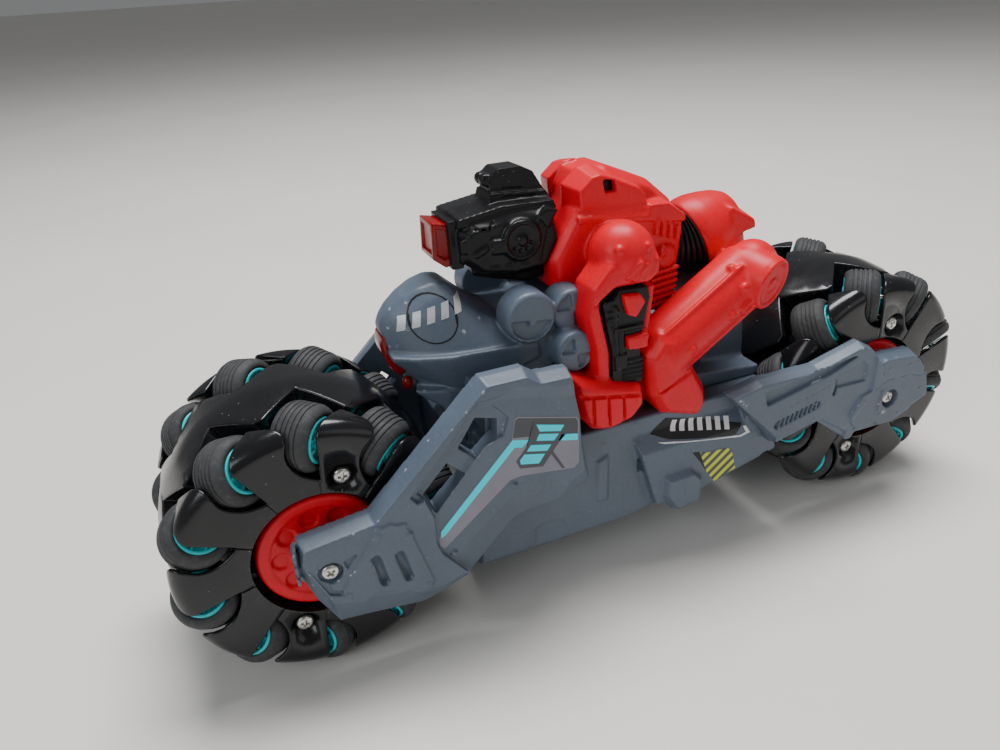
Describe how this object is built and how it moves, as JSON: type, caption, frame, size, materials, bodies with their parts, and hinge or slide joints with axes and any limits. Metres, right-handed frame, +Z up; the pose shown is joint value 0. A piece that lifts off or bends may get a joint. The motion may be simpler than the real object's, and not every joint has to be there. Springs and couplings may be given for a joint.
{
  "type": "rc motorcycle",
  "caption": "Remote controlled drift motorcycle with two wide wheels carrying slanted free rollers, grey frame and arms, and a crouching armoured rider in red and black",
  "frame": {"origin": "on the ground, midway between the two axles, on the middle plane", "axes": "+X forward, +Y to the rider's left, +Z up"},
  "size_m": [0.2948, 0.078, 0.1401],
  "materials": {
    "black_gloss": "gloss",
    "roller_rubber": "satin",
    "steel": "satin",
    "grey_plastic": "semi-matt, fine grain",
    "red_plastic": "satin",
    "black_plastic": "satin",
    "red_lens": "gloss, dark and translucent",
    "cell_sleeve": "gloss",
    "board_green": "satin",
    "teal_plastic": "satin",
    "decal_film": "printed film, satin"
  },
  "bodies": {
    "chassis": {"main_frame": "grey_plastic", "upper_cowl": "grey_plastic", "fork_arm_left": "grey_plastic", "fork_arm_right": "grey_plastic", "swing_arm_left": "grey_plastic", "swing_arm_right": "grey_plastic", "rider_red_armour": "red_plastic", "rider_black_parts": "black_plastic", "red_lenses": "red_lens", "hub_caps": "red_plastic", "motors_and_axle_screws": "steel", "battery_pack": "cell_sleeve", "control_board": "board_green"},
    "front_wheel": {"front_wheel_drum": "black_gloss", "front_wheel_side_plates": "black_gloss", "front_wheel_pins_and_screws": "steel"},
    "rear_wheel": {"rear_wheel_drum": "black_gloss", "rear_wheel_side_plates": "black_gloss", "rear_wheel_pins_and_screws": "steel"},
    "switch": {"power_switch": "black_plastic"},
    "front_roller_left_01_body": {"front_roller_left_01": "roller_rubber"},
    "front_roller_left_02_body": {"front_roller_left_02": "roller_rubber"},
    "front_roller_left_03_body": {"front_roller_left_03": "roller_rubber"},
    "front_roller_left_04_body": {"front_roller_left_04": "roller_rubber"},
    "front_roller_left_05_body": {"front_roller_left_05": "roller_rubber"},
    "front_roller_left_06_body": {"front_roller_left_06": "roller_rubber"},
    "front_roller_left_07_body": {"front_roller_left_07": "roller_rubber"},
    "front_roller_left_08_body": {"front_roller_left_08": "roller_rubber"},
    "front_roller_left_09_body": {"front_roller_left_09": "roller_rubber"},
    "front_roller_left_10_body": {"front_roller_left_10": "roller_rubber"},
    "front_roller_right_01_body": {"front_roller_right_01": "roller_rubber"},
    "front_roller_right_02_body": {"front_roller_right_02": "roller_rubber"},
    "front_roller_right_03_body": {"front_roller_right_03": "roller_rubber"},
    "front_roller_right_04_body": {"front_roller_right_04": "roller_rubber"},
    "front_roller_right_05_body": {"front_roller_right_05": "roller_rubber"},
    "front_roller_right_06_body": {"front_roller_right_06": "roller_rubber"},
    "front_roller_right_07_body": {"front_roller_right_07": "roller_rubber"},
    "front_roller_right_08_body": {"front_roller_right_08": "roller_rubber"},
    "front_roller_right_09_body": {"front_roller_right_09": "roller_rubber"},
    "front_roller_right_10_body": {"front_roller_right_10": "roller_rubber"},
    "rear_roller_left_01_body": {"rear_roller_left_01": "roller_rubber"},
    "rear_roller_left_02_body": {"rear_roller_left_02": "roller_rubber"},
    "rear_roller_left_03_body": {"rear_roller_left_03": "roller_rubber"},
    "rear_roller_left_04_body": {"rear_roller_left_04": "roller_rubber"},
    "rear_roller_left_05_body": {"rear_roller_left_05": "roller_rubber"},
    "rear_roller_left_06_body": {"rear_roller_left_06": "roller_rubber"},
    "rear_roller_left_07_body": {"rear_roller_left_07": "roller_rubber"},
    "rear_roller_left_08_body": {"rear_roller_left_08": "roller_rubber"},
    "rear_roller_left_09_body": {"rear_roller_left_09": "roller_rubber"},
    "rear_roller_left_10_body": {"rear_roller_left_10": "roller_rubber"},
    "rear_roller_right_01_body": {"rear_roller_right_01": "roller_rubber"},
    "rear_roller_right_02_body": {"rear_roller_right_02": "roller_rubber"},
    "rear_roller_right_03_body": {"rear_roller_right_03": "roller_rubber"},
    "rear_roller_right_04_body": {"rear_roller_right_04": "roller_rubber"},
    "rear_roller_right_05_body": {"rear_roller_right_05": "roller_rubber"},
    "rear_roller_right_06_body": {"rear_roller_right_06": "roller_rubber"},
    "rear_roller_right_07_body": {"rear_roller_right_07": "roller_rubber"},
    "rear_roller_right_08_body": {"rear_roller_right_08": "roller_rubber"},
    "rear_roller_right_09_body": {"rear_roller_right_09": "roller_rubber"},
    "rear_roller_right_10_body": {"rear_roller_right_10": "roller_rubber"}
  },
  "joints": [
    {"name": "front_wheel_spin", "type": "hinge", "parent": "chassis", "child": "front_wheel", "pos_m": [0.10336, 0, 0.044], "axis": [0, 1, 0], "continuous": true},
    {"name": "rear_wheel_spin", "type": "hinge", "parent": "chassis", "child": "rear_wheel", "pos_m": [-0.10336, 0, 0.044], "axis": [0, 1, 0], "continuous": true},
    {"name": "power_switch_slide", "type": "slide", "parent": "chassis", "child": "switch", "axis": [1, 0, 0], "range_m": [0, 0.004]},
    {"name": "front_roller_left_01_spin", "type": "hinge", "parent": "front_wheel", "child": "front_roller_left_01_body", "pos_m": [0.13529, 0.0198, 0.05626], "axis": [-0.2534, 0.7071, 0.6601], "continuous": true},
    {"name": "front_roller_left_02_spin", "type": "hinge", "parent": "front_wheel", "child": "front_roller_left_02_body", "pos_m": [0.12199, 0.0198, 0.07268], "axis": [-0.593, 0.7071, 0.3851], "continuous": true},
    {"name": "front_roller_left_03_spin", "type": "hinge", "parent": "front_wheel", "child": "front_roller_left_03_body", "pos_m": [0.10157, 0.0198, 0.07815], "axis": [-0.7061, 0.7071, -0.037], "continuous": true},
    {"name": "front_roller_left_04_spin", "type": "hinge", "parent": "front_wheel", "child": "front_roller_left_04_body", "pos_m": [0.08184, 0.0198, 0.07058], "axis": [-0.5495, 0.7071, -0.445], "continuous": true},
    {"name": "front_roller_left_05_spin", "type": "hinge", "parent": "front_wheel", "child": "front_roller_left_05_body", "pos_m": [0.07032, 0.0198, 0.05285], "axis": [-0.183, 0.7071, -0.683], "continuous": true},
    {"name": "front_roller_left_06_spin", "type": "hinge", "parent": "front_wheel", "child": "front_roller_left_06_body", "pos_m": [0.07143, 0.0198, 0.03174], "axis": [0.2534, 0.7071, -0.6601], "continuous": true},
    {"name": "front_roller_left_07_spin", "type": "hinge", "parent": "front_wheel", "child": "front_roller_left_07_body", "pos_m": [0.08473, 0.0198, 0.01532], "axis": [0.593, 0.7071, -0.3851], "continuous": true},
    {"name": "front_roller_left_08_spin", "type": "hinge", "parent": "front_wheel", "child": "front_roller_left_08_body", "pos_m": [0.10515, 0.0198, 0.00985], "axis": [0.7061, 0.7071, 0.037], "continuous": true},
    {"name": "front_roller_left_09_spin", "type": "hinge", "parent": "front_wheel", "child": "front_roller_left_09_body", "pos_m": [0.12488, 0.0198, 0.01742], "axis": [0.5495, 0.7071, 0.445], "continuous": true},
    {"name": "front_roller_left_10_spin", "type": "hinge", "parent": "front_wheel", "child": "front_roller_left_10_body", "pos_m": [0.13639, 0.0198, 0.03515], "axis": [0.183, 0.7071, 0.683], "continuous": true},
    {"name": "front_roller_right_01_spin", "type": "hinge", "parent": "front_wheel", "child": "front_roller_right_01_body", "pos_m": [0.13751, -0.0198, 0.04579], "axis": [-0.037, 0.7071, 0.7061], "continuous": true},
    {"name": "front_roller_right_02_spin", "type": "hinge", "parent": "front_wheel", "child": "front_roller_right_02_body", "pos_m": [0.12994, -0.0198, 0.06552], "axis": [-0.445, 0.7071, 0.5495], "continuous": true},
    {"name": "front_roller_right_03_spin", "type": "hinge", "parent": "front_wheel", "child": "front_roller_right_03_body", "pos_m": [0.11221, -0.0198, 0.07704], "axis": [-0.683, 0.7071, 0.183], "continuous": true},
    {"name": "front_roller_right_04_spin", "type": "hinge", "parent": "front_wheel", "child": "front_roller_right_04_body", "pos_m": [0.0911, -0.0198, 0.07593], "axis": [-0.6601, 0.7071, -0.2534], "continuous": true},
    {"name": "front_roller_right_05_spin", "type": "hinge", "parent": "front_wheel", "child": "front_roller_right_05_body", "pos_m": [0.07468, -0.0198, 0.06263], "axis": [-0.3851, 0.7071, -0.593], "continuous": true},
    {"name": "front_roller_right_06_spin", "type": "hinge", "parent": "front_wheel", "child": "front_roller_right_06_body", "pos_m": [0.06921, -0.0198, 0.04221], "axis": [0.037, 0.7071, -0.7061], "continuous": true},
    {"name": "front_roller_right_07_spin", "type": "hinge", "parent": "front_wheel", "child": "front_roller_right_07_body", "pos_m": [0.07678, -0.0198, 0.02248], "axis": [0.445, 0.7071, -0.5495], "continuous": true},
    {"name": "front_roller_right_08_spin", "type": "hinge", "parent": "front_wheel", "child": "front_roller_right_08_body", "pos_m": [0.09451, -0.0198, 0.01097], "axis": [0.683, 0.7071, -0.183], "continuous": true},
    {"name": "front_roller_right_09_spin", "type": "hinge", "parent": "front_wheel", "child": "front_roller_right_09_body", "pos_m": [0.11562, -0.0198, 0.01207], "axis": [0.6601, 0.7071, 0.2534], "continuous": true},
    {"name": "front_roller_right_10_spin", "type": "hinge", "parent": "front_wheel", "child": "front_roller_right_10_body", "pos_m": [0.13204, -0.0198, 0.02537], "axis": [0.3851, 0.7071, 0.593], "continuous": true},
    {"name": "rear_roller_left_01_spin", "type": "hinge", "parent": "rear_wheel", "child": "rear_roller_left_01_body", "pos_m": [-0.07018, 0.0198, 0.05227], "axis": [-0.1711, 0.7071, 0.6861], "continuous": true},
    {"name": "rear_roller_left_02_spin", "type": "hinge", "parent": "rear_wheel", "child": "rear_roller_left_02_body", "pos_m": [-0.08138, 0.0198, 0.0702], "axis": [-0.5417, 0.7071, 0.4545], "continuous": true},
    {"name": "rear_roller_left_03_spin", "type": "hinge", "parent": "rear_wheel", "child": "rear_roller_left_03_body", "pos_m": [-0.10097, 0.0198, 0.07812], "axis": [-0.7054, 0.7071, 0.0493], "continuous": true},
    {"name": "rear_roller_left_04_spin", "type": "hinge", "parent": "rear_wheel", "child": "rear_roller_left_04_body", "pos_m": [-0.12148, 0.0198, 0.073], "axis": [-0.5997, 0.7071, -0.3747], "continuous": true},
    {"name": "rear_roller_left_05_spin", "type": "hinge", "parent": "rear_wheel", "child": "rear_roller_left_05_body", "pos_m": [-0.13507, 0.0198, 0.05681], "axis": [-0.2649, 0.7071, -0.6556], "continuous": true},
    {"name": "rear_roller_left_06_spin", "type": "hinge", "parent": "rear_wheel", "child": "rear_roller_left_06_body", "pos_m": [-0.13654, 0.0198, 0.03573], "axis": [0.1711, 0.7071, -0.6861], "continuous": true},
    {"name": "rear_roller_left_07_spin", "type": "hinge", "parent": "rear_wheel", "child": "rear_roller_left_07_body", "pos_m": [-0.12534, 0.0198, 0.0178], "axis": [0.5417, 0.7071, -0.4545], "continuous": true},
    {"name": "rear_roller_left_08_spin", "type": "hinge", "parent": "rear_wheel", "child": "rear_roller_left_08_body", "pos_m": [-0.10575, 0.0198, 0.00988], "axis": [0.7054, 0.7071, -0.0493], "continuous": true},
    {"name": "rear_roller_left_09_spin", "type": "hinge", "parent": "rear_wheel", "child": "rear_roller_left_09_body", "pos_m": [-0.08524, 0.0198, 0.015], "axis": [0.5997, 0.7071, 0.3747], "continuous": true},
    {"name": "rear_roller_left_10_spin", "type": "hinge", "parent": "rear_wheel", "child": "rear_roller_left_10_body", "pos_m": [-0.07165, 0.0198, 0.03119], "axis": [0.2649, 0.7071, 0.6556], "continuous": true},
    {"name": "rear_roller_right_01_spin", "type": "hinge", "parent": "rear_wheel", "child": "rear_roller_right_01_body", "pos_m": [-0.06924, -0.0198, 0.04161], "axis": [0.0493, 0.7071, 0.7054], "continuous": true},
    {"name": "rear_roller_right_02_spin", "type": "hinge", "parent": "rear_wheel", "child": "rear_roller_right_02_body", "pos_m": [-0.07436, -0.0198, 0.06212], "axis": [-0.3747, 0.7071, 0.5997], "continuous": true},
    {"name": "rear_roller_right_03_spin", "type": "hinge", "parent": "rear_wheel", "child": "rear_roller_right_03_body", "pos_m": [-0.09055, -0.0198, 0.07571], "axis": [-0.6556, 0.7071, 0.2649], "continuous": true},
    {"name": "rear_roller_right_04_spin", "type": "hinge", "parent": "rear_wheel", "child": "rear_roller_right_04_body", "pos_m": [-0.11163, -0.0198, 0.07718], "axis": [-0.6861, 0.7071, -0.1711], "continuous": true},
    {"name": "rear_roller_right_05_spin", "type": "hinge", "parent": "rear_wheel", "child": "rear_roller_right_05_body", "pos_m": [-0.12956, -0.0198, 0.06598], "axis": [-0.4545, 0.7071, -0.5417], "continuous": true},
    {"name": "rear_roller_right_06_spin", "type": "hinge", "parent": "rear_wheel", "child": "rear_roller_right_06_body", "pos_m": [-0.13748, -0.0198, 0.04639], "axis": [-0.0493, 0.7071, -0.7054], "continuous": true},
    {"name": "rear_roller_right_07_spin", "type": "hinge", "parent": "rear_wheel", "child": "rear_roller_right_07_body", "pos_m": [-0.13236, -0.0198, 0.02588], "axis": [0.3747, 0.7071, -0.5997], "continuous": true},
    {"name": "rear_roller_right_08_spin", "type": "hinge", "parent": "rear_wheel", "child": "rear_roller_right_08_body", "pos_m": [-0.11617, -0.0198, 0.01229], "axis": [0.6556, 0.7071, -0.2649], "continuous": true},
    {"name": "rear_roller_right_09_spin", "type": "hinge", "parent": "rear_wheel", "child": "rear_roller_right_09_body", "pos_m": [-0.09509, -0.0198, 0.01082], "axis": [0.6861, 0.7071, 0.1711], "continuous": true},
    {"name": "rear_roller_right_10_spin", "type": "hinge", "parent": "rear_wheel", "child": "rear_roller_right_10_body", "pos_m": [-0.07716, -0.0198, 0.02202], "axis": [0.4545, 0.7071, 0.5417], "continuous": true}
  ]
}
